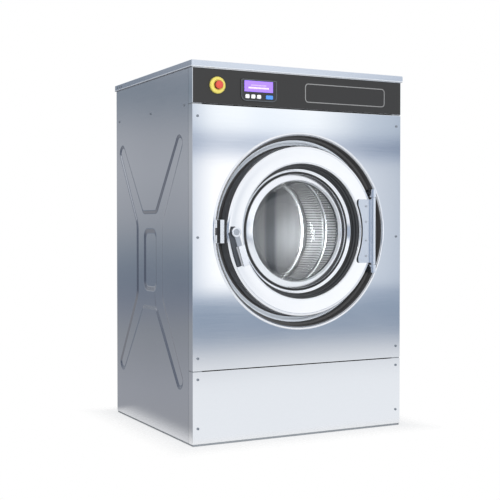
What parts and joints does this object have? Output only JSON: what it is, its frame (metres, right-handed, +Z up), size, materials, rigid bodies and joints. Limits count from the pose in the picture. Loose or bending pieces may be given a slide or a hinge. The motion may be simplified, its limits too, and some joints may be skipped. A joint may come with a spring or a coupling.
{
  "type": "washing machine",
  "caption": "Rigid-mount front-loading washing machine with a round glass door, lever latch, perforated drum, belt drive, top detergent hatch and a stop button.",
  "frame": {"origin": "on the floor, in the middle of the four anchor holes under the base", "axes": "+X to the machine's right seen from the front, +Y to its back, +Z up"},
  "size_m": [0.76, 0.732, 1.15],
  "materials": {
    "steel_panel": "satin stainless sheet",
    "fascia_black": "smooth charcoal film",
    "bright_trim": "polished",
    "door_steel": "polished stainless",
    "recess_black": "black enamel",
    "cuff_black": "glossy black",
    "rubber": "matt",
    "door_glass": "clear pressed glass",
    "screen_violet": "lit film",
    "key_white": "smooth",
    "key_blue": "smooth",
    "stop_yellow": "smooth",
    "stop_red": "smooth",
    "drum_steel": "satin",
    "machined_steel": "turned",
    "frame_paint": "powder coat",
    "casting": "as cast",
    "motor_paint": "enamel",
    "board_green": "circuit board",
    "case_grey": "moulded",
    "valve_brass": "turned"
  },
  "bodies": {
    "cabinet": {"front_panel": "steel_panel", "lower_front_panel": "steel_panel", "console_panel": "steel_panel", "top_cover": "steel_panel", "left_side_panel": "steel_panel", "right_side_panel": "steel_panel", "rear_panel": "steel_panel", "control_fascia": "fascia_black", "display_bezel": "fascia_black", "lip_ring": "bright_trim", "collar_cone": "door_steel", "hinge_brackets": "door_steel", "latch_catch": "door_steel", "recess_ring": "recess_black", "tub_front_plate": "recess_black", "door_gasket": "rubber", "water_hoses": "rubber", "drive_belts": "rubber", "shaft_seal": "rubber", "display_screen": "screen_violet", "estop_collar": "stop_yellow", "outer_tub": "drum_steel", "drum_bearings": "machined_steel", "panel_screws": "machined_steel", "base_frame": "frame_paint", "upright_frame": "frame_paint", "tub_cradles": "frame_paint", "motor_bracket": "frame_paint", "bearing_housing": "casting", "motor_body": "motor_paint", "control_board": "board_green", "inverter_box": "case_grey", "dispenser_box": "case_grey", "drain_valve": "case_grey", "drain_pipe": "case_grey", "cable_gland": "case_grey", "water_valves": "valve_brass"},
    "door": {"door_ring": "door_steel", "door_cuff": "cuff_black", "glass_clamp_ring": "bright_trim", "door_glass": "door_glass", "glass_retainer": "door_steel", "hinge_plate": "door_steel", "hinge_pin": "machined_steel", "door_screws": "machined_steel"},
    "handle": {"door_handle": "door_steel", "latch_spindle": "machined_steel"},
    "drum": {"drum_shell": "drum_steel", "drum_back": "drum_steel", "drum_lifters": "drum_steel", "drum_shaft": "machined_steel", "drum_pulley": "casting"},
    "motor_rotor": {"motor_shaft": "machined_steel", "motor_pulley": "casting"},
    "stop_button": {"estop_button": "stop_red"},
    "first_key": {"key_1": "key_white"},
    "second_key": {"key_2": "key_white"},
    "third_key": {"key_3": "key_white"},
    "start_key": {"key_start": "key_blue"},
    "lid": {"dispenser_lid": "case_grey"}
  },
  "joints": [
    {"name": "door_hinge", "type": "hinge", "parent": "cabinet", "child": "door", "pos_m": [0.252, -0.349, 0.642], "axis": [0, 0, 1], "range_deg": [0, 160]},
    {"name": "handle_turn", "type": "hinge", "parent": "door", "child": "handle", "pos_m": [-0.243, -0.339, 0.64], "axis": [0, -1, 0], "range_deg": [0, 75]},
    {"name": "drum_spin", "type": "hinge", "parent": "cabinet", "child": "drum", "pos_m": [0, 0, 0.642], "axis": [0, 1, 0], "continuous": true},
    {"name": "motor_spin", "type": "hinge", "parent": "cabinet", "child": "motor_rotor", "pos_m": [0.15, 0.2, 0.215], "axis": [0, 1, 0], "continuous": true},
    {"name": "stop_press", "type": "slide", "parent": "cabinet", "child": "stop_button", "axis": [0, 1, 0], "range_m": [0, 0.004], "stiffness_N_per_m": 800},
    {"name": "first_key_press", "type": "slide", "parent": "cabinet", "child": "first_key", "axis": [0, 1, 0], "range_m": [0, 0.001], "stiffness_N_per_m": 400},
    {"name": "second_key_press", "type": "slide", "parent": "cabinet", "child": "second_key", "axis": [0, 1, 0], "range_m": [0, 0.001], "stiffness_N_per_m": 400},
    {"name": "third_key_press", "type": "slide", "parent": "cabinet", "child": "third_key", "axis": [0, 1, 0], "range_m": [0, 0.001], "stiffness_N_per_m": 400},
    {"name": "start_key_press", "type": "slide", "parent": "cabinet", "child": "start_key", "axis": [0, 1, 0], "range_m": [0, 0.001], "stiffness_N_per_m": 400},
    {"name": "lid_hinge", "type": "hinge", "parent": "cabinet", "child": "lid", "pos_m": [0.18, 0.1415, 1.15], "axis": [-1, 0, 0], "range_deg": [0, 95]}
  ],
  "couplings": [
    {"joint": "motor_spin", "follows": "drum_spin", "ratio": 4.3333}
  ]
}
